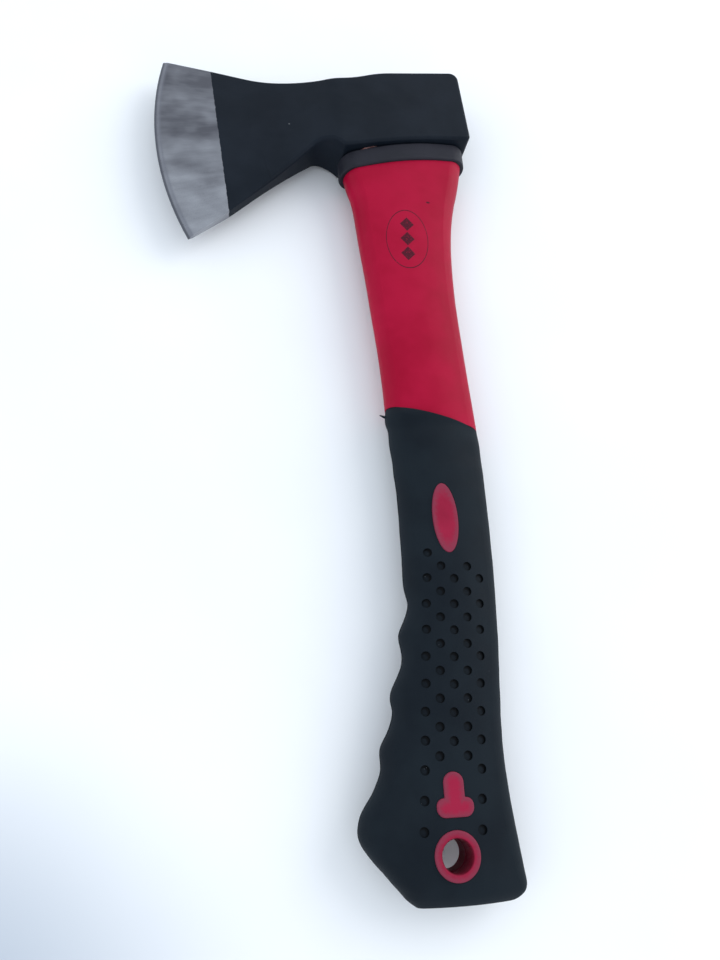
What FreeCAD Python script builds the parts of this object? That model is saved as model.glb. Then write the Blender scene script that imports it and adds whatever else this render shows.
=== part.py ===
import FreeCAD, Part
import os
from math import acos, atan2, cos, pi, sin, sqrt, tan

import Sketcher

# A short hatchet: forged steel head on a fibreglass-cored plastic handle with a rubber grip.
# Modelling frame: the origin is the centre of the hang hole on the handle's middle plane,
# +X points from the handle to the poll, +Y from the hang hole to the head, and +Z out of the
# front face. At the end the whole hatchet is laid on its rear face, with the origin in the
# middle of its footprint.

V = FreeCAD.Vector
ORIGIN = (-1, 1)
X_AXIS = -1
Y_AXIS = -2
START, END, CENTRE = 1, 2, 3
SIDES = ((1, "front"), (-1, "rear"))

DIMENSIONS = {
    # forged head, seen from the front
    "edge_centre_x": 43.4,
    "edge_centre_y": 313.2,
    "edge_radius": 153.0,
    "toe_y": 342.4,
    "toe_radius": 2.4,
    "heel_y": 243.8,
    "heel_radius": 1.2,
    "beard_low_x": -76.5,
    "beard_low_y": 257.8,
    "beard_low_radius": 109.0,
    "throat_x": -32.1,
    "throat_y": 300.6,
    "throat_radius": 8.5,
    "lug_x": -24.6,
    "lug_y": 293.1,
    "lug_radius": 2.0,
    "arch_x": 8.0,
    "arch_y": 300.6,
    "arch_radius": 200.0,
    "poll_low_x": 36.2,
    "poll_low_y": 303.3,
    "poll_low_radius": 2.2,
    "poll_high_x": 33.4,
    "poll_high_y": 344.4,
    "poll_high_radius": 4.2,
    "crown_x": -6.0,
    "crown_y": 338.9,
    "crown_radius": 50.0,
    "saddle_x": -24.0,
    "saddle_y": 332.4,
    "saddle_radius": 55.0,
    "sweep_x": -66.0,
    "sweep_y": 334.2,
    "sweep_radius": 160.0,
    # forged head, seen from above
    "eye_half_thickness": 11.5,
    "blade_half_thickness": 3.2,
    "cheek_start_x": -68.0,
    "cheek_end_x": -32.0,
    "cheek_end_half": 10.0,
    # ground cutting edge, across the blade
    "edge_half_land": 0.15,
    "bevel_width": 2.2,
    "bevel_half": 0.9,
    "grind_width": 46.0,
    "grind_half": 3.4,
    "head_edge_fillet": 1.4,
    # eye through the head, tapered so that it is widest at the top
    "eye_low_level": 280.0,
    "eye_low_front": -16.5,
    "eye_low_back": 26.0,
    "eye_low_half": 7.0,
    "eye_high_level": 350.0,
    "eye_high_front": -18.0,
    "eye_high_back": 27.5,
    "eye_high_half": 7.8,
    "eye_nose_radius": 6.2,
    # plastic tongue inside the eye and the resin around it
    "tongue_gap": 1.1,
    "tongue_nose_radius": 5.2,
    "tongue_drop": 1.0,
    "resin_drop": 1.3,
    # neck of the handle and the rubber collar under the head
    "shoulder_front_x": -46.0,
    "shoulder_front_y": 286.6,
    "shoulder_middle_x": 8.0,
    "shoulder_middle_y": 300.1,
    "shoulder_middle_radius": 200.0,
    "shoulder_back_x": 56.0,
    "shoulder_back_y": 304.6,
    "collar_height": 9.3,
    "collar_front_x": -26.2,
    "collar_back_x": 34.6,
    "collar_half": 9.4,
    "collar_nose_radius": 8.2,
    "collar_edge_fillet": 0.9,
    # seam between the bare plastic and the rubber grip
    "seam_belly_x": -42.0,
    "seam_belly_y": 173.4,
    "seam_back_x": 57.0,
    "seam_back_y": 147.6,
    # fibreglass bar
    "core_width": 19.0,
    "core_thickness": 8.0,
    "core_corner_radius": 2.0,
    "core_centre_x": 5.5,
    "core_low_y": 12.0,
    # oval inlay
    "oval_x": 6.8,
    "oval_y": 117.1,
    "oval_half_length": 13.9,
    "oval_half_width": 5.0,
    "oval_tilt": 1.4,
    "oval_top_z": 8.5,
    "oval_fillet": 0.4,
    # keyhole-shaped inlay
    "tee_x": 0.6,
    "tee_low_y": 11.7,
    "tee_high_y": 26.1,
    "tee_bar_width": 13.0,
    "tee_bar_height": 6.2,
    "tee_stem_width": 7.2,
    "tee_low_radius": 3.05,
    "tee_arm_radius": 2.6,
    "tee_stem_radius": 3.55,
    "tee_inner_radius": 0.2,
    "tee_top_z": 8.7,
    "tee_fillet": 0.6,
    # what both inlays share
    "inlay_seat_z": 5.0,
    "inlay_gap": 0.12,
    # how far cuts run past what they cut
    "cut_reach": 60.0,
    "head_reach": 130.0,
    "grind_ramp": 16.0,
    "grind_overrun": 4.0,
    "grind_clearance": 20.0,
    # hang hole eyelets
    "hole_radius": 5.3,
    "barrel_radius": 6.5,
    "flange_radius": 7.9,
    "flange_seat_z": 5.5,
    "flange_top_z": 8.6,
    "eyelet_fillet": 0.6,
    # dimples in the rubber
    "dimple_diameter": 3.3,
    "dimple_depth": 0.7,
    "dimple_pitch": 9.6,
    "dimple_lean": 5.7,
    "dimple_axis_x": -1.3,
}

# Cross-sections of the handle: level along the handle, belly side, back side, half thickness.
STATION_FIELDS = ("y", "belly", "back", "half", "nose")
NECK_STATIONS = [
    (306.0, -24.6, 32.8, 8.2, 7.2),
    (292.0, -24.6, 32.6, 8.2, 7.2),
    (284.0, -24.2, 31.0, 8.2, 7.1),
    (276.5, -22.6, 29.2, 8.1, 7.0),
    (269.0, -20.8, 27.2, 8.1, 6.8),
    (258.0, -19.6, 25.1, 8.1, 6.6),
    (242.0, -18.1, 23.6, 8.1, 6.5),
    (225.0, -16.3, 23.1, 8.1, 6.5),
    (204.0, -14.4, 23.6, 8.1, 6.4),
    (184.0, -12.8, 24.5, 8.1, 6.4),
    (166.0, -12.0, 25.5, 8.1, 6.4),
    (148.0, -10.8, 26.0, 8.1, 6.4),
]
GRIP_STATIONS = [
    (176.0, -12.8, 25.4, 8.5, 6.6),
    (170.0, -12.4, 25.6, 8.5, 6.6),
    (164.0, -12.0, 25.9, 8.5, 6.6),
    (158.0, -11.6, 26.1, 8.5, 6.6),
    (152.0, -11.2, 26.3, 8.5, 6.6),
    (146.0, -10.7, 26.5, 8.5, 6.6),
    (140.0, -10.3, 26.6, 8.5, 6.6),
    (134.0, -9.9, 26.7, 8.5, 6.6),
    (128.0, -9.6, 26.7, 8.4, 6.6),
    (122.0, -9.5, 26.7, 8.4, 6.6),
    (116.0, -9.5, 26.7, 8.4, 6.5),
    (110.0, -9.5, 26.6, 8.3, 6.5),
    (104.0, -9.5, 26.5, 8.3, 6.4),
    (98.5, -9.6, 26.4, 8.3, 6.4),
    (93.5, -9.7, 26.2, 8.2, 6.4),
    (88.5, -9.0, 26.0, 8.2, 6.4),
    (84.5, -8.6, 25.8, 8.2, 6.3),
    (81.0, -9.6, 25.6, 8.2, 6.3),
    (77.3, -11.4, 25.4, 8.2, 6.3),
    (73.0, -13.0, 25.2, 8.2, 6.3),
    (68.5, -12.4, 24.9, 8.2, 6.3),
    (64.2, -12.4, 24.5, 8.2, 6.3),
    (60.2, -13.8, 24.2, 8.2, 6.3),
    (56.2, -16.0, 23.8, 8.2, 6.3),
    (52.0, -17.6, 23.5, 8.2, 6.3),
    (48.0, -17.2, 23.2, 8.2, 6.3),
    (44.0, -17.7, 22.8, 8.2, 6.3),
    (40.0, -19.4, 22.6, 8.2, 6.3),
    (36.3, -21.7, 22.4, 8.2, 6.3),
    (32.8, -22.7, 22.3, 8.2, 6.3),
    (29.0, -22.6, 22.3, 8.2, 6.3),
    (25.2, -23.5, 22.4, 8.2, 6.3),
    (21.4, -25.4, 22.6, 8.2, 6.3),
    (17.5, -28.1, 22.8, 8.2, 6.3),
    (13.6, -30.6, 23.1, 8.2, 6.3),
    (9.5, -31.7, 23.5, 8.2, 6.3),
    (5.5, -31.1, 23.9, 8.2, 6.3),
    (1.6, -28.7, 24.3, 8.2, 6.3),
    (-2.2, -25.6, 24.7, 8.2, 6.2),
    (-5.8, -22.5, 25.1, 8.1, 6.0),
    (-8.9, -19.8, 25.5, 7.9, 5.6),
    (-11.4, -17.6, 25.4, 7.5, 4.9),
    (-13.3, -15.7, 24.2, 6.7, 4.0),
    (-14.6, -14.0, 22.1, 5.7, 3.1),
    (-15.2, -12.6, 20.0, 4.8, 2.4),
]
TAIL_STATIONS = [
    (175.0, -9.8, 23.2, 6.0, 5.0),
    (150.0, -8.4, 23.8, 6.0, 5.0),
    (125.0, -7.0, 24.0, 6.0, 5.0),
    (100.0, -6.8, 23.8, 6.0, 5.0),
    (75.0, -8.4, 22.6, 6.0, 5.0),
    (50.0, -11.2, 20.8, 6.0, 5.0),
    (25.0, -14.4, 19.6, 6.0, 5.0),
    (0.0, -15.6, 20.0, 5.8, 4.8),
    (-11.0, -11.0, 18.0, 5.0, 4.0),
]
# Columns of dimples: offset from the middle column, level of the first dimple, how many there are.
COLUMN_FIELDS = ("offset", "first_y", "count")
DIMPLE_COLUMNS = [
    (-10.2, 103.4, 11),
    (-5.1, 98.1, 8),
    (0.0, 93.2, 7),
    (5.1, 97.8, 8),
    (10.2, 93.3, 10),
]
STATION_TABLES = {"neck": NECK_STATIONS, "grip": GRIP_STATIONS, "tail": TAIL_STATIONS}

doc = FreeCAD.newDocument("hatchet")


# ---------------------------------------------------------------- spreadsheet

def fill_sheet():
    """Put every driving dimension in the sheet, one row each, under its own alias."""
    sheet = doc.addObject("Spreadsheet::Sheet", "Dims")
    rows = list(DIMENSIONS.items())
    for table_name, stations in STATION_TABLES.items():
        for index, station in enumerate(stations):
            for field, value in zip(STATION_FIELDS, station):
                rows.append((f"{table_name}_{index}_{field}", value))
    for index, column in enumerate(DIMPLE_COLUMNS):
        for field, value in zip(COLUMN_FIELDS, column):
            rows.append((f"column_{index}_{field}", value))
    for end in ("toe", "heel"):
        reach = f"sqrt(edge_radius^2 - ({end}_y - edge_centre_y)^2)"
        rows.append((f"{end}_x", f"=edge_centre_x - {reach}"))
    for row, (alias, value) in enumerate(rows, start=1):
        sheet.set(f"A{row}", alias)
        sheet.set(f"B{row}", str(value))
        sheet.setAlias(f"B{row}", alias)
    doc.recompute()
    return sheet


dims = fill_sheet()


def dim(alias):
    """The value that the sheet holds for an alias."""
    return float(getattr(dims, alias))


def sheet_value(expression):
    """Work out an expression of sheet aliases as a number."""
    return float(dims.evalExpression(expression))


# ---------------------------------------------------------------- sketch helpers

def new_body(name):
    body = doc.addObject("PartDesign::Body", name)
    body.Label = name
    return body


def new_sketch(body, name, plane="XY_Plane"):
    """A sketch lying flat on one of its body's own origin planes."""
    sketch = body.newObject("Sketcher::SketchObject", name)
    support = [item for item in body.Origin.OriginFeatures if item.Role == plane][0]
    sketch.AttachmentSupport = (support, [""])
    sketch.MapMode = "FlatFace"
    return sketch


def bind(sketch, kind, geometry, value, expression):
    """Add one dimension to a sketch and bind it to the sheet."""
    index = sketch.addConstraint(Sketcher.Constraint(kind, *geometry, value))
    sketch.setExpression(f"Constraints[{index}]", expression)


def pin_point(sketch, geometry, position, x, y, x_expression, y_expression):
    """Hold a point at the x and y that the two expressions give."""
    bind(sketch, "DistanceX", (*ORIGIN, geometry, position), x, x_expression)
    bind(sketch, "DistanceY", (*ORIGIN, geometry, position), y, y_expression)


def arc_between(start, end, radius):
    """Arc from start to end. A positive radius bulges to the left of the direction of travel."""
    chord = end - start
    left = V(-chord.y, chord.x, 0).normalize()
    size = abs(radius)
    side = 1 if radius > 0 else -1
    rise = size - sqrt(size ** 2 - (chord.Length / 2) ** 2)
    return Part.Arc(start, (start + end) * 0.5 + left * side * rise, end)


def corner(name, rounded=False):
    """A corner that the sheet holds as NAME_x and NAME_y, and NAME_radius if it is rounded."""
    return (f"Dims.{name}_x", f"Dims.{name}_y", f"Dims.{name}_radius" if rounded else None)


def outline(sketch, corners, first_run=None):
    """Close a loop of straight runs through corners, rounding those that have a radius.

    Each corner is three expressions of the sheet's aliases: x, y, and the radius or None. Runs go
    anticlockwise. first_run is the radius of an arc that bulges outwards and takes the place of
    the straight run between the first two corners, which must both be sharp.
    """
    places = [V(sheet_value(x), sheet_value(y), 0) for x, y, radius in corners]
    count = len(corners)
    run_starts = list(places)
    run_ends = places[1:] + places[:1]
    arcs = {}
    left_turns = {}
    for index, (x, y, radius) in enumerate(corners):
        if radius is None:
            continue
        size = sheet_value(radius)
        back = (places[index - 1] - places[index]).normalize()
        ahead = (places[(index + 1) % count] - places[index]).normalize()
        half_turn = (pi - back.getAngle(ahead)) / 2
        setback = size * tan(half_turn)
        run_ends[index - 1] = places[index] + back * setback
        run_starts[index] = places[index] + ahead * setback
        left_turns[index] = back.cross(ahead).z < 0
        bulge = -size if left_turns[index] else size
        arcs[index] = arc_between(run_ends[index - 1], run_starts[index], bulge)

    for index in range(count):
        if index == 0 and first_run:
            sketch.addGeometry(arc_between(run_starts[0], run_ends[0], -sheet_value(first_run)))
        else:
            sketch.addGeometry(Part.LineSegment(run_starts[index], run_ends[index]))
    for index, (x, y, radius) in enumerate(corners):
        place = places[index]
        before = (index - 1) % count
        if radius is None:
            sketch.addConstraint(Sketcher.Constraint("Coincident", before, END, index, START))
            pin_point(sketch, index, START, place.x, place.y, x, y)
            continue
        arc = sketch.addGeometry(arcs[index])
        vertex = sketch.addGeometry(Part.Point(place), True)
        # an arc's own start is where its anticlockwise sweep begins
        entry, leave = (START, END) if left_turns[index] else (END, START)
        sketch.addConstraint([
            Sketcher.Constraint("Tangent", before, END, arc, entry),
            Sketcher.Constraint("Tangent", index, START, arc, leave),
            Sketcher.Constraint("PointOnObject", vertex, START, before),
            Sketcher.Constraint("PointOnObject", vertex, START, index),
        ])
        pin_point(sketch, vertex, START, place.x, place.y, x, y)
        bind(sketch, "Radius", (arc,), sheet_value(radius), radius)
    if first_run:
        bind(sketch, "Radius", (0,), sheet_value(first_run), first_run)


def crown_radius(half_width, half, nose):
    """Radius of the arc that crowns a face and runs tangent into both nose arcs."""
    return ((half_width - nose) ** 2 + half ** 2 - nose ** 2) / (2 * (half - nose))


def lens_section(body, name, y, belly, back, half, nose):
    """A handle section across the handle at one level: two crowned faces and two round noses.

    Every argument after the name is an expression of the sheet's aliases.
    """
    level, low, high, b, r = (sheet_value(item) for item in (y, belly, back, half, nose))
    reach = (high - low) / 2 - r
    crown = crown_radius(reach + r, b, r)
    turn = atan2(crown - b, reach)

    sketch = new_sketch(body, name, "XZ_Plane")
    sketch.AttachmentOffset = FreeCAD.Placement(V((low + high) / 2, 0, -level), FreeCAD.Rotation())
    sketch.setExpression("AttachmentOffset.Base.x", f"(({belly}) + ({back})) / 2")
    sketch.setExpression("AttachmentOffset.Base.z", f"-({y})")

    up = V(0, 0, 1)
    top = Part.ArcOfCircle(Part.Circle(V(0, b - crown, 0), up, crown), turn, pi - turn)
    right = Part.ArcOfCircle(Part.Circle(V(reach, 0, 0), up, r), -turn, turn)
    bottom = Part.ArcOfCircle(Part.Circle(V(0, crown - b, 0), up, crown), pi + turn, 2 * pi - turn)
    left = Part.ArcOfCircle(Part.Circle(V(-reach, 0, 0), up, r), pi - turn, pi + turn)
    sketch.addGeometry([top, right, bottom, left])
    sketch.addConstraint([
        Sketcher.Constraint("Tangent", 0, START, 1, END),
        Sketcher.Constraint("Tangent", 0, END, 3, START),
        Sketcher.Constraint("Tangent", 3, END, 2, START),
        Sketcher.Constraint("Tangent", 2, END, 1, START),
        Sketcher.Constraint("PointOnObject", 0, CENTRE, Y_AXIS),
        Sketcher.Constraint("PointOnObject", 2, CENTRE, Y_AXIS),
        Sketcher.Constraint("PointOnObject", 1, CENTRE, X_AXIS),
        Sketcher.Constraint("Equal", 1, 3),
        Sketcher.Constraint("Equal", 0, 2),
    ])
    reach_text = f"(({back}) - ({belly})) / 2 - ({nose})"
    crown_text = f"(({reach_text})^2 + ({half})^2 - ({nose})^2) / (2 * (({half}) - ({nose})))"
    bind(sketch, "Radius", (1,), r, nose)
    bind(sketch, "DistanceX", (*ORIGIN, 1, CENTRE), reach, reach_text)
    bind(sketch, "Radius", (0,), crown, crown_text)
    return sketch


def loft(body, name, sections, cut=False):
    kind = "PartDesign::SubtractiveLoft" if cut else "PartDesign::AdditiveLoft"
    feature = body.newObject(kind, name)
    feature.Profile = sections[0]
    feature.Sections = sections[1:]
    feature.Ruled = False
    doc.recompute()
    return feature


def station_loft(body, table, cut=False, inset="0"):
    """Loft through every station of one table, drawn in all round by inset."""
    suffix = "" if inset == "0" else "_inset"
    sections = []
    for index in range(len(STATION_TABLES[table])):
        y, belly, back, half, nose = [f"Dims.{table}_{index}_{field}" for field in STATION_FIELDS]
        sections.append(lens_section(
            body, f"{body.Name}_{table}_{index}{suffix}", y, f"{belly} + {inset}", f"{back} - {inset}",
            f"{half} - {inset}", f"{nose} - {inset}"))
    return loft(body, f"{body.Name}_{table}{suffix}", sections, cut)


def fillet(body, name, edges, radius):
    """Round named edges of the body as it stands. The edges that run on from them follow."""
    base = body.Tip
    feature = body.newObject("PartDesign::Fillet", name)
    feature.Base = (base, edges)
    feature.setExpression("Radius", radius)
    doc.recompute()
    return feature


def cut_through(body, sketch, name):
    """Cut a sketch's area right through the body, both ways from the sketch's plane."""
    doc.recompute()
    before = body.Shape.Volume
    pocket = body.newObject("PartDesign::Pocket", name)
    pocket.Profile = sketch
    pocket.Type = "ThroughAll"
    pocket.SideType = "Symmetric"
    doc.recompute()
    if body.Shape.Volume >= before:
        raise RuntimeError(f"{name} removed nothing")
    return pocket


# ---------------------------------------------------------------- forged head

def head_outline(body):
    """The head seen from the front, walked anticlockwise from the toe."""
    sketch = new_sketch(body, "head_outline")
    sharp = [corner("toe"), corner("heel")]
    names = ("beard_low", "throat", "lug", "arch", "poll_low", "poll_high", "crown", "saddle", "sweep")
    outline(sketch, sharp + [corner(name, rounded=True) for name in names], "Dims.edge_radius")
    return sketch


def cheek_plan(body):
    """Everything outside the head as seen from above: cut away, it leaves the flared cheeks."""
    sketch = new_sketch(body, "cheek_plan", "XZ_Plane")
    blade, eye = dim("blade_half_thickness"), dim("eye_half_thickness")
    start_x, end_x, end_half = dim("cheek_start_x"), dim("cheek_end_x"), dim("cheek_end_half")
    run, rise = end_x - start_x, end_half - blade
    hollow = (run ** 2 + rise ** 2) / (2 * rise)
    slope = acos(1 - rise / hollow)
    crown = (eye - end_half) / (1 - cos(slope))
    crown_end = end_x + crown * sin(slope)
    low_x, high_x, far_z = -dim("head_reach"), dim("cut_reach"), dim("cut_reach")
    for side, sign in ((1, ""), (-1, "-")):
        knots = [V(low_x, side * blade, 0), V(start_x, side * blade, 0), V(end_x, side * end_half, 0),
                 V(crown_end, side * eye, 0), V(high_x, side * eye, 0),
                 V(high_x, side * far_z, 0), V(low_x, side * far_z, 0)]
        first = sketch.GeometryCount
        sketch.addGeometry([
            Part.LineSegment(knots[0], knots[1]),
            arc_between(knots[1], knots[2], -side * hollow),
            arc_between(knots[2], knots[3], side * crown),
            Part.LineSegment(knots[3], knots[4]),
            Part.LineSegment(knots[4], knots[5]),
            Part.LineSegment(knots[5], knots[6]),
            Part.LineSegment(knots[6], knots[0]),
        ])
        # an arc's own start is where its anticlockwise sweep begins
        hollow_ends, crown_ends = ((START, END), (END, START))[::side]
        sketch.addConstraint([
            Sketcher.Constraint("Tangent", first, END, first + 1, hollow_ends[0]),
            Sketcher.Constraint("Tangent", first + 1, hollow_ends[1], first + 2, crown_ends[0]),
            Sketcher.Constraint("Tangent", first + 2, crown_ends[1], first + 3, START),
            Sketcher.Constraint("Coincident", first + 3, END, first + 4, START),
            Sketcher.Constraint("Coincident", first + 4, END, first + 5, START),
            Sketcher.Constraint("Coincident", first + 5, END, first + 6, START),
            Sketcher.Constraint("Coincident", first + 6, END, first, START),
            Sketcher.Constraint("Horizontal", first),
            Sketcher.Constraint("Horizontal", first + 3),
            Sketcher.Constraint("Horizontal", first + 5),
            Sketcher.Constraint("Vertical", first + 4),
            Sketcher.Constraint("Vertical", first + 6),
        ])
        pin_point(sketch, first, END, start_x, side * blade,
                  "Dims.cheek_start_x", f"{sign}Dims.blade_half_thickness")
        pin_point(sketch, first + 1, hollow_ends[1], end_x, side * end_half,
                  "Dims.cheek_end_x", f"{sign}Dims.cheek_end_half")
        bind(sketch, "DistanceY", (*ORIGIN, first + 3, START), side * eye, f"{sign}Dims.eye_half_thickness")
        bind(sketch, "DistanceX", (*ORIGIN, first, START), low_x, "-Dims.head_reach")
        bind(sketch, "DistanceX", (*ORIGIN, first + 3, END), high_x, "Dims.cut_reach")
        bind(sketch, "DistanceY", (*ORIGIN, first + 5, START), side * far_z, f"{sign}Dims.cut_reach")
    return sketch


def edge_grind(body):
    """What the grinding takes off, as a section through the centre of the cutting edge's arc."""
    sketch = new_sketch(body, "edge_grind", "XZ_Plane")
    sketch.AttachmentOffset = FreeCAD.Placement(
        V(dim("edge_centre_x"), 0, -dim("edge_centre_y")), FreeCAD.Rotation())
    sketch.setExpression("AttachmentOffset.Base.x", "Dims.edge_centre_x")
    sketch.setExpression("AttachmentOffset.Base.z", "-Dims.edge_centre_y")
    above = dim("grind_clearance")
    past = -dim("grind_overrun")
    ramp = dim("grind_ramp")
    for side, sign in ((1, ""), (-1, "-")):
        first = sketch.GeometryCount
        corners = [
            (past, "-Dims.grind_overrun", "edge_half_land"),
            (0.0, "0", "edge_half_land"),
            (dim("bevel_width"), "Dims.bevel_width", "bevel_half"),
            (dim("grind_width"), "Dims.grind_width", "grind_half"),
        ]
        places = []
        for inward, inward_text, half in corners:
            x = inward - dim("edge_radius")
            x_place = (x, f"{inward_text} - Dims.edge_radius")
            places.append((x_place, (side * dim(half), f"{sign}Dims.{half}")))
        far_x = dim("grind_width") + ramp - dim("edge_radius")
        top = (side * above, f"{sign}Dims.grind_clearance")
        places.append(((far_x, "Dims.grind_width + Dims.grind_ramp - Dims.edge_radius"), top))
        places.append((places[0][0], top))
        points = [V(place[0][0], place[1][0], 0) for place in places]
        for index, point in enumerate(points):
            sketch.addGeometry(Part.LineSegment(point, points[(index + 1) % len(points)]))
        for index, ((x, x_text), (y, y_text)) in enumerate(places):
            sketch.addConstraint(Sketcher.Constraint(
                "Coincident", first + index, END, first + (index + 1) % len(points), START))
            pin_point(sketch, first + index, START, x, y, x_text, y_text)
    return sketch


def poll_edges(shape):
    """The long edge on each side of the poll: the edges that run on smoothly from it follow."""
    names = []
    for index, edge in enumerate(shape.Edges, start=1):
        box = edge.BoundBox
        if box.XMin > dim("poll_high_x") and box.YLength > 30 and box.ZLength < 0.01:
            names.append(f"Edge{index}")
    return names


def make_head():
    body = new_body("axe_head")
    blank = body.newObject("PartDesign::Pad", "head_blank")
    blank.Profile = head_outline(body)
    blank.SideType = "Symmetric"
    blank.setExpression("Length", "2 * Dims.eye_half_thickness")
    doc.recompute()
    cut_through(body, cheek_plan(body), "head_cheeks")

    fillet(body, "head_rounding", poll_edges(body.Shape), "Dims.head_edge_fillet")

    grind = body.newObject("PartDesign::Groove", "head_grind")
    grind.Profile = edge_grind(body)
    grind.ReferenceAxis = (grind.Profile[0], ["V_Axis"])
    grind.Angle = 90
    grind.Midplane = True
    doc.recompute()

    eye_low = lens_section(body, "eye_low", "Dims.eye_low_level", "Dims.eye_low_front",
                           "Dims.eye_low_back", "Dims.eye_low_half", "Dims.eye_nose_radius")
    eye_high = lens_section(body, "eye_high", "Dims.eye_high_level", "Dims.eye_high_front",
                            "Dims.eye_high_back", "Dims.eye_high_half", "Dims.eye_nose_radius")
    loft(body, "head_eye", [eye_low, eye_high], cut=True)
    return body


# ---------------------------------------------------------------- handle

def area(body, name, corners):
    """A closed area in the handle's middle plane."""
    sketch = new_sketch(body, name)
    outline(sketch, corners)
    return sketch


def seam_area(body, name, head_side):
    """The area on one side of the slanted seam between the bare plastic and the rubber."""
    belly, back = corner("seam_belly"), corner("seam_back")
    if head_side:
        far = "Dims.seam_belly_y + Dims.cut_reach"
        return area(body, name, [belly, back, (back[0], far, None), (belly[0], far, None)])
    far = "Dims.seam_belly_y - Dims.cut_reach"
    return area(body, name, [(belly[0], far, None), (back[0], far, None), back, belly])


def shoulder_area(body, name, drop, above):
    """The area above or below a line that follows the head's lower face, lowered by drop."""
    line = [corner("shoulder_front"), corner("shoulder_middle", rounded=True), corner("shoulder_back")]
    line = [(x, f"{y} - {drop}", radius) for x, y, radius in line]
    far = f"Dims.shoulder_middle_y {'+' if above else '-'} 2 * Dims.cut_reach"
    front, back = (line[0][0], far, None), (line[2][0], far, None)
    return area(body, name, line + [back, front] if above else [front, back] + line[::-1])


def top_area(body, name, drop):
    """Everything above a line that lies a little under the head's upper face."""
    fall = "(Dims.poll_high_y - Dims.crown_y) / (Dims.poll_high_x - Dims.crown_x)"
    front, back = "Dims.crown_x - Dims.cut_reach", "Dims.poll_high_x + Dims.cut_reach"
    above = "Dims.poll_high_y + Dims.cut_reach"
    return area(body, name, [
        (front, f"Dims.crown_y - Dims.cut_reach * {fall} - {drop}", None),
        (back, f"Dims.poll_high_y + Dims.cut_reach * {fall} - {drop}", None),
        (back, above, None),
        (front, above, None)])


def eye_section(body, name, end, inset, half_inset, nose):
    """A section that stands inside the eye's, at the eye's low or high level."""
    return lens_section(
        body, name, f"Dims.eye_{end}_level", f"Dims.eye_{end}_front + {inset}",
        f"Dims.eye_{end}_back - {inset}", f"Dims.eye_{end}_half - {half_inset}", nose)


def core_sketch(body):
    """The fibreglass bar's rounded section, across the handle."""
    sketch = new_sketch(body, f"{body.Name}_core", "XZ_Plane")
    sketch.AttachmentOffset = FreeCAD.Placement(V(0, 0, -dim("core_low_y")), FreeCAD.Rotation())
    sketch.setExpression("AttachmentOffset.Base.z", "-Dims.core_low_y")
    middle = dim("core_centre_x")
    half_width, half_depth = dim("core_width") / 2, dim("core_thickness") / 2
    corners = [V(middle - half_width, -half_depth, 0), V(middle + half_width, -half_depth, 0),
               V(middle + half_width, half_depth, 0), V(middle - half_width, half_depth, 0)]
    for index in range(4):
        sketch.addGeometry(Part.LineSegment(corners[index], corners[(index + 1) % 4]))
    for index in range(4):
        sketch.addConstraint(Sketcher.Constraint("Coincident", index, END, (index + 1) % 4, START))
    sketch.addConstraint([
        Sketcher.Constraint("Horizontal", 0), Sketcher.Constraint("Vertical", 1),
        Sketcher.Constraint("Horizontal", 2), Sketcher.Constraint("Vertical", 3)])
    pin_point(sketch, 0, START, corners[0].x, corners[0].y,
              "Dims.core_centre_x - Dims.core_width / 2", "-Dims.core_thickness / 2")
    pin_point(sketch, 1, END, corners[2].x, corners[2].y,
              "Dims.core_centre_x + Dims.core_width / 2", "Dims.core_thickness / 2")
    return sketch


def circle_sketch(body, name, radius):
    """A circle about the hang hole's axis."""
    sketch = new_sketch(body, name)
    sketch.addGeometry(Part.Circle(V(0, 0, 0), V(0, 0, 1), sheet_value(radius)))
    sketch.addConstraint(Sketcher.Constraint("Coincident", 0, CENTRE, *ORIGIN))
    bind(sketch, "Radius", (0,), sheet_value(radius), radius)
    return sketch


def oval_sketch(body, name, grow):
    """The oval inlay's outline, made larger all round by the given expression."""
    sketch = new_sketch(body, name)
    turn = FreeCAD.Rotation(V(0, 0, 1), 90 + dim("oval_tilt"))
    sketch.AttachmentOffset = FreeCAD.Placement(V(dim("oval_x"), dim("oval_y"), 0), turn)
    sketch.setExpression("AttachmentOffset.Base.x", "Dims.oval_x")
    sketch.setExpression("AttachmentOffset.Base.y", "Dims.oval_y")
    sketch.setExpression("AttachmentOffset.Rotation.Angle", "90 + Dims.oval_tilt")
    length, width = f"Dims.oval_half_length + {grow}", f"Dims.oval_half_width + {grow}"
    major, minor = sheet_value(length), sheet_value(width)
    sketch.addGeometry(Part.Ellipse(V(major, 0, 0), V(0, minor, 0), V(0, 0, 0)))
    sketch.exposeInternalGeometry(0)
    sketch.addConstraint([
        Sketcher.Constraint("Coincident", 0, CENTRE, *ORIGIN),
        Sketcher.Constraint("Horizontal", 1)])
    bind(sketch, "DistanceX", (1, START, 1, END), 2 * major, f"2 * ({length})")
    bind(sketch, "DistanceY", (2, START, 2, END), 2 * minor, f"2 * ({width})")
    return sketch


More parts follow.
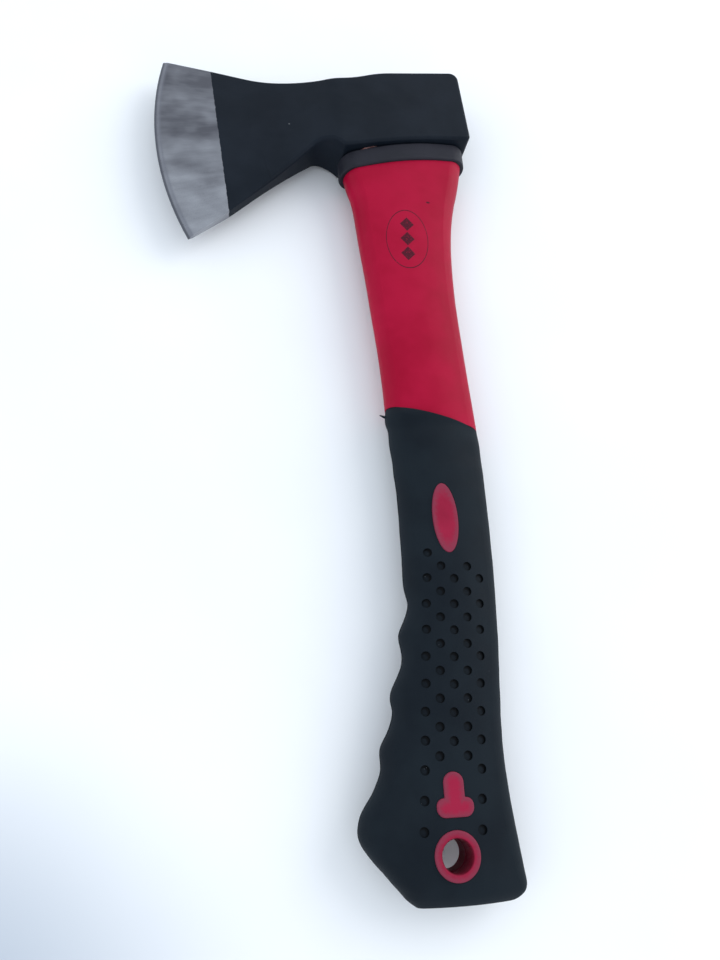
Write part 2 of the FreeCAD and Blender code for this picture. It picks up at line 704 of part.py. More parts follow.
def tee_sketch(body, name, grow):
    """The keyhole-shaped inlay's outline: a round-topped stem standing on a bar with round ends."""
    sketch = new_sketch(body, name)
    bar, stem = f"(Dims.tee_bar_width / 2 + {grow})", f"(Dims.tee_stem_width / 2 + {grow})"
    low = f"Dims.tee_low_y - {grow}"
    step = f"Dims.tee_low_y + Dims.tee_bar_height + {grow}"
    high = f"Dims.tee_high_y + {grow}"
    low_end, bar_end = f"Dims.tee_low_radius + {grow}", f"Dims.tee_arm_radius + {grow}"
    stem_end, inside = f"Dims.tee_stem_radius + {grow}", f"Dims.tee_inner_radius - {grow}"
    outline(sketch, [
        (f"Dims.tee_x - {bar}", low, low_end),
        (f"Dims.tee_x + {bar}", low, low_end),
        (f"Dims.tee_x + {bar}", step, bar_end),
        (f"Dims.tee_x + {stem}", step, inside),
        (f"Dims.tee_x + {stem}", high, stem_end),
        (f"Dims.tee_x - {stem}", high, stem_end),
        (f"Dims.tee_x - {stem}", step, inside),
        (f"Dims.tee_x - {bar}", step, bar_end)])
    return sketch


def long_edges(shape):
    """Edges that run along the handle."""
    return [f"Edge{index}" for index, edge in enumerate(shape.Edges, start=1)
            if edge.BoundBox.YLength > 0.99 * edge.Length]


def make_core():
    body = new_body("fibreglass_core")
    bar = body.newObject("PartDesign::Pad", "core_bar")
    bar.Profile = core_sketch(body)
    bar.Reversed = True
    bar.setExpression("Length", "Dims.eye_high_level")
    doc.recompute()
    fillet(body, "core_corners", long_edges(body.Shape), "Dims.core_corner_radius")
    cut_through(body, top_area(body, "core_top", "Dims.tongue_drop"), "core_top_cut")
    return body


def tongue_loft(body, cut=False):
    ends = []
    for end in ("low", "high"):
        ends.append(eye_section(body, f"{body.Name}_tongue_{end}", end, "Dims.tongue_gap",
                                "Dims.tongue_gap", "Dims.tongue_nose_radius"))
    return loft(body, f"{body.Name}_tongue", ends, cut)


def sink(body, sketch, name, side):
    """Cut outwards from a sketch that lies inside the body, on the front (1) or rear (-1)."""
    doc.recompute()
    before = body.Shape.Volume
    pocket = body.newObject("PartDesign::Pocket", name)
    pocket.Profile = sketch
    pocket.Reversed = side > 0
    pocket.setExpression("Length", "Dims.cut_reach")
    doc.recompute()
    if body.Shape.Volume >= before:
        raise RuntimeError(f"{name} removed nothing")
    return pocket


def raise_sketch(sketch, side, level):
    """Lift a sketch off the middle plane to a level on the front (1) or rear (-1) side."""
    text = level if side > 0 else f"-({level})"
    offset = sketch.AttachmentOffset
    sketch.AttachmentOffset = FreeCAD.Placement(
        V(offset.Base.x, offset.Base.y, sheet_value(text)), offset.Rotation)
    sketch.setExpression("AttachmentOffset.Base.z", text)
    return sketch


def is_slot_corner(edge):
    """True for the four long straight edges of the slot that holds the fibreglass bar."""
    box = edge.BoundBox
    half_width, half_depth = dim("core_width") / 2, dim("core_thickness") / 2
    at_side = abs(abs(box.Center.x - dim("core_centre_x")) - half_width) < 0.01
    at_face = abs(abs(box.Center.z) - half_depth) < 0.01
    return at_side and at_face and box.YLength > 0.99 * edge.Length


def make_jacket():
    body = new_body("handle_jacket")
    station_loft(body, "neck")
    cut_through(body, seam_area(body, "jacket_seam", head_side=False), "jacket_seam_cut")
    cut_through(body, shoulder_area(body, "jacket_shoulder", "0", above=True), "jacket_shoulder_cut")
    station_loft(body, "tail")
    tongue_loft(body)
    cut_through(body, top_area(body, "tongue_top", "Dims.tongue_drop"), "jacket_top_cut")
    slot = body.newObject("PartDesign::Pocket", "jacket_slot")
    slot.Profile = core_sketch(body)
    slot.setExpression("Length", "Dims.eye_high_level")
    doc.recompute()
    corners = [f"Edge{index}" for index, edge in enumerate(body.Shape.Edges, start=1)
               if is_slot_corner(edge)]
    fillet(body, "jacket_slot_corners", corners, "Dims.core_corner_radius")
    cut_through(body, circle_sketch(body, "barrel_hole", "Dims.barrel_radius"), "barrel_hole_cut")
    for side, face in SIDES:
        seat = circle_sketch(body, f"flange_seat_{face}", "Dims.flange_radius")
        sink(body, raise_sketch(seat, side, "Dims.flange_seat_z"), f"flange_seat_cut_{face}", side)
        seat = oval_sketch(body, f"oval_seat_{face}", "0")
        sink(body, raise_sketch(seat, side, "Dims.inlay_seat_z"), f"oval_seat_cut_{face}", side)
        seat = tee_sketch(body, f"tee_seat_{face}", "0")
        sink(body, raise_sketch(seat, side, "Dims.inlay_seat_z"), f"tee_seat_cut_{face}", side)
    return body


def long_rims(shape):
    """The longest edge of the lower rim and of the upper rim, on the front face."""
    rims = []
    for index, edge in enumerate(shape.Edges, start=1):
        if edge.BoundBox.XLength > 25 and edge.CenterOfMass.z > 1:
            rims.append((edge.CenterOfMass.y, f"Edge{index}"))
    rims.sort()
    return [rims[0][1], rims[-1][1]]


def make_collar():
    body = new_body("neck_collar")
    ends = []
    for end, sign in (("low", "-"), ("high", "+")):
        level = f"Dims.shoulder_middle_y {sign} Dims.cut_reach"
        ends.append(lens_section(body, f"collar_{end}", level, "Dims.collar_front_x",
                                 "Dims.collar_back_x", "Dims.collar_half", "Dims.collar_nose_radius"))
    loft(body, "collar_ring", ends)
    cut_through(body, shoulder_area(body, "collar_top", "0", above=True), "collar_top_cut")
    foot = shoulder_area(body, "collar_foot", "Dims.collar_height", above=False)
    cut_through(body, foot, "collar_foot_cut")
    fillet(body, "collar_rims", long_rims(body.Shape), "Dims.collar_edge_fillet")
    station_loft(body, "neck", cut=True)
    return body


def make_resin():
    """Resin that fills the eye around the tongue, down to the handle's shoulder."""
    body = new_body("eye_resin")
    ends = []
    for end in ("low", "high"):
        ends.append(eye_section(body, f"resin_{end}", end, "0", "0", "Dims.eye_nose_radius"))
    loft(body, "resin_filling", ends)
    cut_through(body, shoulder_area(body, "resin_foot", "0", above=False), "resin_foot_cut")
    cut_through(body, top_area(body, "resin_top", "Dims.resin_drop"), "resin_top_cut")
    tongue_loft(body, cut=True)
    return body


def dimple_column(body, index, side, face):
    """One slanting column of round holes, cut outwards from well below the surface."""
    alias = f"Dims.column_{index}"
    lean = "tan(Dims.dimple_lean * 1 deg)"
    x_text = f"Dims.dimple_axis_x + {alias}_offset + {alias}_first_y * {lean}"
    y_text = f"{alias}_first_y"
    sketch = new_sketch(body, f"column_{index}_{face}")
    turn = FreeCAD.Rotation(V(0, 0, 1), -dim("dimple_lean"))
    sketch.AttachmentOffset = FreeCAD.Placement(V(sheet_value(x_text), sheet_value(y_text), 0), turn)
    sketch.setExpression("AttachmentOffset.Base.x", x_text)
    sketch.setExpression("AttachmentOffset.Base.y", y_text)
    raise_sketch(sketch, side, "Dims.inlay_seat_z")
    sketch.addGeometry(Part.Circle(V(0, 0, 0), V(0, 0, 1), dim("dimple_diameter") / 2))
    sketch.addConstraint(Sketcher.Constraint("Coincident", 0, CENTRE, *ORIGIN))
    bind(sketch, "Diameter", (0,), dim("dimple_diameter"), "Dims.dimple_diameter")

    dimple = sink(body, sketch, f"dimple_{index}_{face}", side)
    pattern = body.newObject("PartDesign::LinearPattern", f"dimples_{index}_{face}")
    pattern.Originals = [dimple]
    pattern.Direction = (sketch, ["V_Axis"])
    pattern.Reversed = True
    pattern.setExpression("Length", f"({alias}_count - 1) * Dims.dimple_pitch")
    pattern.setExpression("Occurrences", f"{alias}_count")
    body.Tip = pattern
    doc.recompute()


def make_sleeve():
    body = new_body("grip_sleeve")
    station_loft(body, "grip")
    for side, face in SIDES:
        for index in range(len(DIMPLE_COLUMNS)):
            dimple_column(body, index, side, face)
    # the floors of the dimples lie at an even depth below the surface
    station_loft(body, "grip", inset="Dims.dimple_depth")
    cut_through(body, seam_area(body, "sleeve_seam", head_side=True), "sleeve_seam_cut")
    station_loft(body, "tail", cut=True)
    for side, face in SIDES:
        window = circle_sketch(body, f"ring_window_{face}", "Dims.flange_radius + Dims.inlay_gap")
        sink(body, window, f"ring_window_cut_{face}", side)
        window = oval_sketch(body, f"oval_window_{face}", "Dims.inlay_gap")
        sink(body, window, f"oval_window_cut_{face}", side)
        window = tee_sketch(body, f"tee_window_{face}", "Dims.inlay_gap")
        sink(body, window, f"tee_window_cut_{face}", side)
    return body


def pad_between(body, sketch, name, side, low, high):
    """Pad a sketch from one level to another, on the front (1) or rear (-1)."""
    pad = body.newObject("PartDesign::Pad", name)
    pad.Profile = raise_sketch(sketch, side, low)
    pad.Reversed = side < 0
    pad.setExpression("Length", f"{high} - ({low})")
    doc.recompute()
    return pad


def rim_edges(shape, side):
    """The edges round the outermost flat face. On a smooth rim the rest run on from the first."""
    level = max(side * vertex.Z for vertex in shape.Vertexes)
    names = []
    for index, edge in enumerate(shape.Edges, start=1):
        on_level = all(abs(side * vertex.Z - level) < 0.01 for vertex in edge.Vertexes)
        if on_level and edge.BoundBox.ZLength < 0.01:
            names.append(f"Edge{index}")
    return names


def make_oval(side, face):
    """A flat plastic oval with a rounded rim that stands level with the rubber round it."""
    body = new_body(f"oval_inlay_{face}")
    pad_between(body, oval_sketch(body, f"oval_{face}", "0"), f"oval_pad_{face}", side,
                "Dims.inlay_seat_z", "Dims.oval_top_z")
    fillet(body, f"oval_rim_{face}", rim_edges(body.Shape, side)[:1], "Dims.oval_fillet")
    return body


def make_tee(side, face):
    body = new_body(f"tee_inlay_{face}")
    pad_between(body, tee_sketch(body, f"tee_{face}", "0"), f"tee_pad_{face}", side,
                "Dims.inlay_seat_z", "Dims.tee_top_z")
    fillet(body, f"tee_rim_{face}", rim_edges(body.Shape, side)[:1], "Dims.tee_fillet")
    return body


def make_eyelet(side, face):
    """Half of the lining of the hang hole: a barrel up to the middle plane and a flange outside."""
    body = new_body(f"eyelet_{face}")
    barrel = circle_sketch(body, f"eyelet_barrel_{face}", "Dims.barrel_radius")
    pad_between(body, barrel, f"eyelet_barrel_pad_{face}", side, "0", "Dims.flange_top_z")
    flange = circle_sketch(body, f"eyelet_flange_{face}", "Dims.flange_radius")
    pad_between(body, flange, f"eyelet_flange_pad_{face}", side, "Dims.flange_seat_z", "Dims.flange_top_z")
    bore = circle_sketch(body, f"eyelet_bore_{face}", "Dims.hole_radius")
    cut_through(body, bore, f"eyelet_bore_cut_{face}")
    fillet(body, f"eyelet_rims_{face}", rim_edges(body.Shape, side), "Dims.eyelet_fillet")
    return body


# ---------------------------------------------------------------- check, lay down and write out

def check(body):
    """Stop if any feature failed or the finished shape isn't one sound solid."""
    for item in [body] + body.Group:
        if "Invalid" in item.State or "Error" in item.State:
            raise RuntimeError(f"{item.Name} is {item.State}")
    shape = body.Shape
    if shape.isNull() or not shape.isValid() or len(shape.Solids) != 1:
        raise RuntimeError(f"{body.Label} isn't one sound solid")


def lay_down(bodies):
    """Put the middle of the footprint at the origin, with the rear face on the ground."""
    whole = FreeCAD.BoundBox()
    for body in bodies:
        whole.add(body.Shape.optimalBoundingBox(False))
    drop = V(-whole.Center.x, -whole.Center.y, -whole.ZMin)
    for body in bodies:
        body.Placement = FreeCAD.Placement(drop, FreeCAD.Rotation())


bodies = [make_head(), make_core(), make_jacket(), make_collar(), make_resin(), make_sleeve()]
for side, face in SIDES:
    bodies += [make_oval(side, face), make_tee(side, face), make_eyelet(side, face)]
doc.recompute()
for body in bodies:
    check(body)
lay_down(bodies)
doc.recompute()

os.makedirs("parts", exist_ok=True)
for body in bodies:
    body.Shape.exportStep(f"parts/{body.Label}.step")
    print(body.Label, round(body.Shape.Volume, 1), body.Placement.Base, body.Shape.optimalBoundingBox(False))
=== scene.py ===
from math import cos, pi, radians, sin, tan

import bmesh
import bpy
import numpy as np
from mathutils import Euler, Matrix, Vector


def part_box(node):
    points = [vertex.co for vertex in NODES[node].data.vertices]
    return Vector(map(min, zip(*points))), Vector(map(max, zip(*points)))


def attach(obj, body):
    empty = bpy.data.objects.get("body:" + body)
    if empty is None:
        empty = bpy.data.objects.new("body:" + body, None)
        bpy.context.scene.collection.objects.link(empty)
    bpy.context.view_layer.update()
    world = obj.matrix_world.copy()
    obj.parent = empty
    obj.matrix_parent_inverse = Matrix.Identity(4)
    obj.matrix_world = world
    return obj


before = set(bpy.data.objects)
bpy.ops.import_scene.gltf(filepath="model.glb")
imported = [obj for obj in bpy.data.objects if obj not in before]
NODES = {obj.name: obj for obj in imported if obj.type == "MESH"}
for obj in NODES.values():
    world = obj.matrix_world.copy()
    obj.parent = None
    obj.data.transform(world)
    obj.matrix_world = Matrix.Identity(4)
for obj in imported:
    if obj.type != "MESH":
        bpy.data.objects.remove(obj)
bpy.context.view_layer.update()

MM = 0.001

# The hatchet's own origin: the hang hole's axis where it crosses the handle's middle plane.
ring_low, ring_high = (np.array(corner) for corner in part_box("eyelet_front"))
HOLE = np.array([(ring_low[0] + ring_high[0]) / 2, (ring_low[1] + ring_high[1]) / 2, ring_low[2]])


def at(x, y, z=0.0):
    """A place given in millimetres from the hang hole, in metres in the row's frame."""
    return HOLE + np.array([x, y, z]) * MM


# ---------------------------------------------------------------- node helpers

def add(tree, kind, inputs=None, **settings):
    """One shader node. inputs maps a socket's name or number to a value or to another socket."""
    node = tree.nodes.new(kind)
    for name, value in settings.items():
        setattr(node, name, value)
    for key, value in (inputs or {}).items():
        if isinstance(value, bpy.types.NodeSocket):
            tree.links.new(value, node.inputs[key])
        else:
            node.inputs[key].default_value = value
    return node


def calc(tree, operation, *values):
    """One Math node's result."""
    return add(tree, "ShaderNodeMath", dict(enumerate(values)), operation=operation).outputs[0]


def turned(tree, x, y, angle):
    """The plane vector (x, y) in axes turned clockwise by angle."""
    x_cos, x_sin = calc(tree, "MULTIPLY", x, cos(angle)), calc(tree, "MULTIPLY", x, sin(angle))
    y_cos, y_sin = calc(tree, "MULTIPLY", y, cos(angle)), calc(tree, "MULTIPLY", y, sin(angle))
    return calc(tree, "SUBTRACT", x_cos, y_sin), calc(tree, "ADD", x_sin, y_cos)


def plane_length(tree, first, second):
    """The length of the plane vector (first, second)."""
    squares = [calc(tree, "MULTIPLY", value, value) for value in (first, second)]
    return calc(tree, "SQRT", calc(tree, "ADD", *squares))


def remap(tree, value, low, high, to_low=0.0, to_high=1.0, smooth=True):
    """value's share of the way from low to high, clamped, as a number from to_low to to_high."""
    sockets = {"Value": value, "From Min": low, "From Max": high, "To Min": to_low, "To Max": to_high}
    kind = "SMOOTHSTEP" if smooth else "LINEAR"
    return add(tree, "ShaderNodeMapRange", sockets, interpolation_type=kind).outputs["Result"]


def blend(tree, factor, first, second, mode="MIX"):
    """first where factor is 0 and second where it is 1."""
    node = add(tree, "ShaderNodeMix", {"Factor": factor}, data_type="RGBA", blend_type=mode)
    for socket, value in ((node.inputs[6], first), (node.inputs[7], second)):
        if isinstance(value, bpy.types.NodeSocket):
            tree.links.new(value, socket)
        else:
            socket.default_value = (*value, 1.0)
    return node.outputs[2]


def noise(tree, vector, size, detail=2.0, roughness=0.5, stretch=(1.0, 1.0, 1.0)):
    """Noise whose lumps are about size millimetres across, from coordinates in millimetres."""
    scaled = add(tree, "ShaderNodeMapping", {"Vector": vector, "Scale": tuple(s / size for s in stretch)})
    sockets = {"Vector": scaled.outputs[0], "Scale": 1.0, "Detail": detail, "Roughness": roughness}
    return add(tree, "ShaderNodeTexNoise", sockets).outputs["Fac"]


def new_group(name, inputs, outputs):
    """An empty shader group. inputs and outputs are (name, socket type, default) rows."""
    tree = bpy.data.node_groups.new(name, "ShaderNodeTree")
    for way, rows in (("INPUT", inputs), ("OUTPUT", outputs)):
        for label, kind, *default in rows:
            socket = tree.interface.new_socket(label, in_out=way, socket_type=kind)
            if default:
                socket.default_value = default[0]
    return tree, tree.nodes.new("NodeGroupInput").outputs, tree.nodes.new("NodeGroupOutput").inputs


def use(tree, group, inputs=None):
    """Place a group in a material and give its outputs."""
    node = tree.nodes.new("ShaderNodeGroup")
    node.node_tree = group
    for key, value in (inputs or {}).items():
        if isinstance(value, bpy.types.NodeSocket):
            tree.links.new(value, node.inputs[key])
        else:
            node.inputs[key].default_value = value
    return node.outputs


VECTOR, FLOAT = "NodeSocketVector", "NodeSocketFloat"


# ---------------------------------------------------------------- shared effects

def make_moulded_skin():
    """Height and roughness of a moulded surface: fine grain over slow swells and a few scuffs."""
    tree, given, out = new_group(
        "moulded_skin",
        [("Place", VECTOR), ("Grain size", FLOAT, 0.35), ("Grain", FLOAT, 1.0), ("Swell", FLOAT, 1.0),
         ("Scuffs", FLOAT, 0.5)],
        [("Height", FLOAT), ("Rough", FLOAT), ("Patches", FLOAT)])
    inverse = calc(tree, "DIVIDE", 1.0, given["Grain size"])
    scaled = add(tree, "ShaderNodeVectorMath", {0: given["Place"], "Scale": inverse}, operation="SCALE")
    grain = add(tree, "ShaderNodeTexNoise",
                {"Vector": scaled.outputs[0], "Scale": 1.0, "Detail": 3.0, "Roughness": 0.6}).outputs["Fac"]
    swell = noise(tree, given["Place"], 9.0, detail=1.5)
    scratch = noise(tree, given["Place"], 1.0, detail=1.0, stretch=(0.9, 0.12, 0.9))
    scratch = remap(tree, scratch, 0.70, 0.76)
    scuff = calc(tree, "MULTIPLY", scratch, given["Scuffs"])
    fine = calc(tree, "MULTIPLY", grain, given["Grain"])
    slow = calc(tree, "MULTIPLY", swell, given["Swell"])
    height = calc(tree, "SUBTRACT", calc(tree, "ADD", fine, slow), calc(tree, "MULTIPLY", scuff, 0.3))
    tree.links.new(height, out["Height"])
    patches = noise(tree, given["Place"], 22.0, detail=3.0, roughness=0.55)
    tree.links.new(patches, out["Patches"])
    rough = calc(tree, "ADD", remap(tree, patches, 0.3, 0.7, -0.5, 0.5), calc(tree, "MULTIPLY", scuff, 0.6))
    rough = calc(tree, "ADD", rough, remap(tree, grain, 0.3, 0.7, -0.25, 0.25))
    tree.links.new(rough, out["Rough"])
    return tree


def make_dust():
    """Mask of scattered dust: one dot in some cells of a grid of random points."""
    tree, given, out = new_group(
        "dust", [("Place", VECTOR), ("Spacing", FLOAT, 5.0), ("Share", FLOAT, 0.2), ("Dot", FLOAT, 0.05)],
        [("Mask", FLOAT)])
    inverse = calc(tree, "DIVIDE", 1.0, given["Spacing"])
    scaled = add(tree, "ShaderNodeVectorMath", {0: given["Place"], "Scale": inverse}, operation="SCALE")
    cells = add(tree, "ShaderNodeTexVoronoi", {"Vector": scaled.outputs[0], "Scale": 1.0, "Randomness": 1.0})
    draw = add(tree, "ShaderNodeSeparateColor", {0: cells.outputs["Color"]}).outputs
    chosen = calc(tree, "LESS_THAN", draw[0], given["Share"])
    reach = calc(tree, "MULTIPLY", given["Dot"], calc(tree, "ADD", 0.35, draw[1]))
    dot = calc(tree, "LESS_THAN", cells.outputs["Distance"], reach)
    tree.links.new(calc(tree, "MULTIPLY", calc(tree, "MULTIPLY", dot, chosen), draw[2]), out["Mask"])
    return tree


def make_own_place():
    """Object coordinates turned into millimetres from the hang hole."""
    tree, given, out = new_group("own_place", [("Object", VECTOR)], [("Place", VECTOR), ("X", FLOAT),
                                                                   ("Y", FLOAT), ("Z", FLOAT)])
    moved = add(tree, "ShaderNodeVectorMath", {0: given["Object"], 1: tuple(HOLE)}, operation="SUBTRACT")
    scaled = add(tree, "ShaderNodeVectorMath", {0: moved.outputs[0], "Scale": 1 / MM}, operation="SCALE")
    tree.links.new(scaled.outputs[0], out["Place"])
    parts = add(tree, "ShaderNodeSeparateXYZ", {0: scaled.outputs[0]}).outputs
    for axis in "XYZ":
        tree.links.new(parts[axis], out[axis])
    return tree


MOULDED_SKIN = make_moulded_skin()
DUST = make_dust()
OWN_PLACE = make_own_place()


# ---------------------------------------------------------------- materials

def new_material(name, roughness=0.5, **sockets):
    """A Principled material with its plain numbers set, and the coordinates of its own place."""
    material = bpy.data.materials.new(name)
    material.use_nodes = True
    tree = material.node_tree
    shader = tree.nodes["Principled BSDF"]
    shader.inputs["Roughness"].default_value = roughness
    for label, value in sockets.items():
        shader.inputs[label.replace("_", " ")].default_value = value
    place = use(tree, OWN_PLACE, {"Object": add(tree, "ShaderNodeTexCoord").outputs["Object"]})
    return material, tree, shader, place


def finish_surface(tree, shader, colour, roughness, height, depth, metallic=None):
    """Wire up the shader. depth is how deep the bump's full height is, in millimetres."""
    tree.links.new(colour, shader.inputs["Base Color"])
    tree.links.new(roughness, shader.inputs["Roughness"])
    bump = add(tree, "ShaderNodeBump", {"Height": height, "Strength": 1.0, "Distance": depth * MM})
    tree.links.new(bump.outputs[0], shader.inputs["Normal"])
    if metallic is not None:
        tree.links.new(metallic, shader.inputs["Metallic"])


def with_dust(tree, place, colour, dust_colour, spacing, share, dot, strength):
    """colour with scattered dust on it."""
    mask = use(tree, DUST, {"Place": place["Place"], "Spacing": spacing, "Share": share, "Dot": dot})
    return blend(tree, calc(tree, "MULTIPLY", mask["Mask"], strength), colour, dust_colour)


def moulded(name, dark, light, rough, rough_swing, grain_size, grain, swell, scuffs, depth,
            dust=None, **sockets):
    """A moulded plastic or rubber: two close tones in patches, grain, swells, scuffs and dust.

    grain_size and depth are in millimetres, and dust holds with_dust()'s own values.
    """
    material, tree, shader, place = new_material(name, rough, **sockets)
    skin = use(tree, MOULDED_SKIN, {"Place": place["Place"], "Grain size": grain_size, "Grain": grain,
                                    "Swell": swell, "Scuffs": scuffs})
    colour = blend(tree, remap(tree, skin["Patches"], 0.32, 0.68), dark, light)
    if dust:
        colour = with_dust(tree, place, colour, **dust)
    roughness = add(tree, "ShaderNodeMath", {0: skin["Rough"], 1: rough_swing, 2: rough},
                    operation="MULTIPLY_ADD").outputs[0]
    return material, tree, shader, place, colour, roughness, skin["Height"], depth


def finished(parts):
    """Wire up what moulded() gives and hand back its material."""
    material, tree, shader, _, colour, roughness, height, depth = parts
    finish_surface(tree, shader, colour, roughness, height, depth)
    return material


# colours are linear
PAINT_DARK = (0.0040, 0.0072, 0.0125)
PAINT_LIGHT = (0.0080, 0.0120, 0.0190)
STEEL_DARK = (0.118, 0.119, 0.136)
STEEL_LIGHT = (0.39, 0.40, 0.43)
STEEL_HONED = (0.20, 0.205, 0.235)
STEEL_RIM = (0.075, 0.080, 0.095)
RED_DARK = (0.31, 0.0020, 0.024)
RED_LIGHT = (0.37, 0.0040, 0.033)
INK = (0.030, 0.008, 0.016)
INLAY_DARK = (0.235, 0.007, 0.031)
INLAY_LIGHT = (0.32, 0.013, 0.047)
# painted sheen for the inlays' rims
INLAY_SHEEN = (0.21, 0.034, 0.062)
# painted shade for the hang hole's wall
INLAY_HOLE_SHADE = (0.080, 0.0020, 0.009)
RUBBER_DARK = (0.0032, 0.0068, 0.0115)
RUBBER_LIGHT = (0.0066, 0.0118, 0.0172)
# painted shade for the grip's pits
PIT_SHADE = (0.0008, 0.0012, 0.0020)
COLLAR_DARK = (0.0125, 0.0130, 0.0190)
COLLAR_LIGHT = (0.019, 0.0192, 0.027)
RESIN_DARK = (0.055, 0.018, 0.016)
RESIN_LIGHT = (0.220, 0.085, 0.075)
GLASS_DARK = (0.42, 0.36, 0.22)
GLASS_LIGHT = (0.62, 0.56, 0.40)
DUST_GREY = (0.16, 0.17, 0.18)
DUST_PINK = (0.60, 0.25, 0.30)


def make_head_material():
    """Black paint up to a masked line, and a ground steel bit beyond it."""
    material, tree, shader, place = new_material("painted_head_with_ground_bit", Specular_IOR_Level=0.10)
    x, y, z = place["X"], place["Y"], place["Z"]

    # the masked line leans a little and its edge is slightly uneven
    line_top_x, line_top_y, line_slope = -85.0, 338.0, -0.1148
    along = calc(tree, "SUBTRACT", y, line_top_y)
    line_x = add(tree, "ShaderNodeMath", {0: along, 1: line_slope, 2: line_top_x},
                 operation="MULTIPLY_ADD").outputs[0]
    waver, blur = 0.12, 0.08
    ragged = remap(tree, noise(tree, place["Place"], 1.6, detail=3.0), 0.3, 0.7, -waver, waver)
    past_line = calc(tree, "SUBTRACT", calc(tree, "SUBTRACT", line_x, x), ragged)
    bare = remap(tree, past_line, -blur, blur)

    # grinding marks run from the middle of the edge's arc outwards
    centre_x, centre_y, edge_radius = 43.4, 313.2, 153.0
    dx = calc(tree, "SUBTRACT", x, centre_x)
    dy = calc(tree, "SUBTRACT", y, centre_y)
    radius = plane_length(tree, dx, dy)
    turn = calc(tree, "MULTIPLY", calc(tree, "ARCTAN2", dy, calc(tree, "MULTIPLY", dx, -1.0)), edge_radius)
    polar = add(tree, "ShaderNodeCombineXYZ", {0: radius, 1: turn, 2: z}).outputs[0]
    marks = noise(tree, polar, 0.40, detail=4.0, roughness=0.65, stretch=(0.045, 1.0, 1.0))
    streaks = noise(tree, polar, 2.6, detail=3.0, roughness=0.55, stretch=(0.16, 1.0, 1.0))
    broad = noise(tree, place["Place"], 13.0, detail=2.5, roughness=0.5, stretch=(0.7, 1.0, 1.0))
    glint_spots = noise(tree, place["Place"], 0.45, detail=2.0)
    depth_in = calc(tree, "SUBTRACT", edge_radius, radius)
    honed_width, honed_end, rim_width, rim_end = 2.2, 3.4, 0.7, 1.3
    honed = remap(tree, depth_in, honed_width, honed_end, 1.0, 0.0)
    dark_rim = remap(tree, depth_in, rim_width, rim_end, 1.0, 0.0)

    # painted highlight: the lower half of the bit is brighter, most of all in a wedge above the heel, with
    # painted glints in it
    wedge_top, wedge_foot = 305.0, 262.0
    highlight_wedge = remap(tree, y, wedge_top, wedge_foot, 0.0, 1.0)
    wedge_highlight, glint_strength = 0.13, 0.14
    painted_glint = calc(tree, "ADD", wedge_highlight, calc(tree, "MULTIPLY", glint_spots, glint_strength))
    tone_and_highlight = calc(tree, "MULTIPLY", highlight_wedge, painted_glint)
    # the grind's own cloudy patches, streaks and marks are added on top of the painted highlight
    for pattern, share in ((broad, 0.72), (streaks, 0.18), (marks, 0.08)):
        tone_and_highlight = calc(tree, "ADD", tone_and_highlight, calc(tree, "MULTIPLY", pattern, share))
    steel = blend(tree, remap(tree, tone_and_highlight, 0.38, 0.84, smooth=False), STEEL_DARK, STEEL_LIGHT)
    steel = blend(tree, calc(tree, "MULTIPLY", honed, 0.6), steel, STEEL_HONED)
    steel = blend(tree, calc(tree, "MULTIPLY", dark_rim, 0.75), steel, STEEL_RIM)

    skin = use(tree, MOULDED_SKIN, {"Place": place["Place"], "Grain size": 0.55, "Grain": 0.8,
                                    "Swell": 5.0, "Scuffs": 0.3})
    paint = blend(tree, remap(tree, skin["Patches"], 0.3, 0.7), PAINT_DARK, PAINT_LIGHT)
    paint = with_dust(tree, place, paint, DUST_GREY, spacing=7.0, share=0.22, dot=0.045, strength=0.6)
    colour = blend(tree, bare, paint, steel)

    paint_base, paint_swing, steel_base, steel_swing, honed_drop = 0.52, 0.10, 0.28, 0.22, 0.08
    paint_rough = add(tree, "ShaderNodeMath", {0: skin["Rough"], 1: paint_swing, 2: paint_base},
                      operation="MULTIPLY_ADD").outputs[0]
    steel_rough = add(tree, "ShaderNodeMath", {0: marks, 1: steel_swing, 2: steel_base},
                      operation="MULTIPLY_ADD").outputs[0]
    steel_rough = calc(tree, "SUBTRACT", steel_rough, calc(tree, "MULTIPLY", honed, honed_drop))
    rough = add(tree, "ShaderNodeMix", {"Factor": bare, "A": paint_rough, "B": steel_rough}).outputs[0]

    # the paint stands a little higher than the bare steel
    mark_height, skin_height, paint_lift, full_depth = 0.28, 0.35, 0.6, 0.10
    steel_height = calc(tree, "MULTIPLY", marks, mark_height)
    paint_height = calc(tree, "ADD", calc(tree, "MULTIPLY", skin["Height"], skin_height), paint_lift)
    height = add(tree, "ShaderNodeMix", {"Factor": bare, "A": paint_height, "B": steel_height}).outputs[0]
    finish_surface(tree, shader, colour, rough, height, full_depth, metallic=bare)
    return material


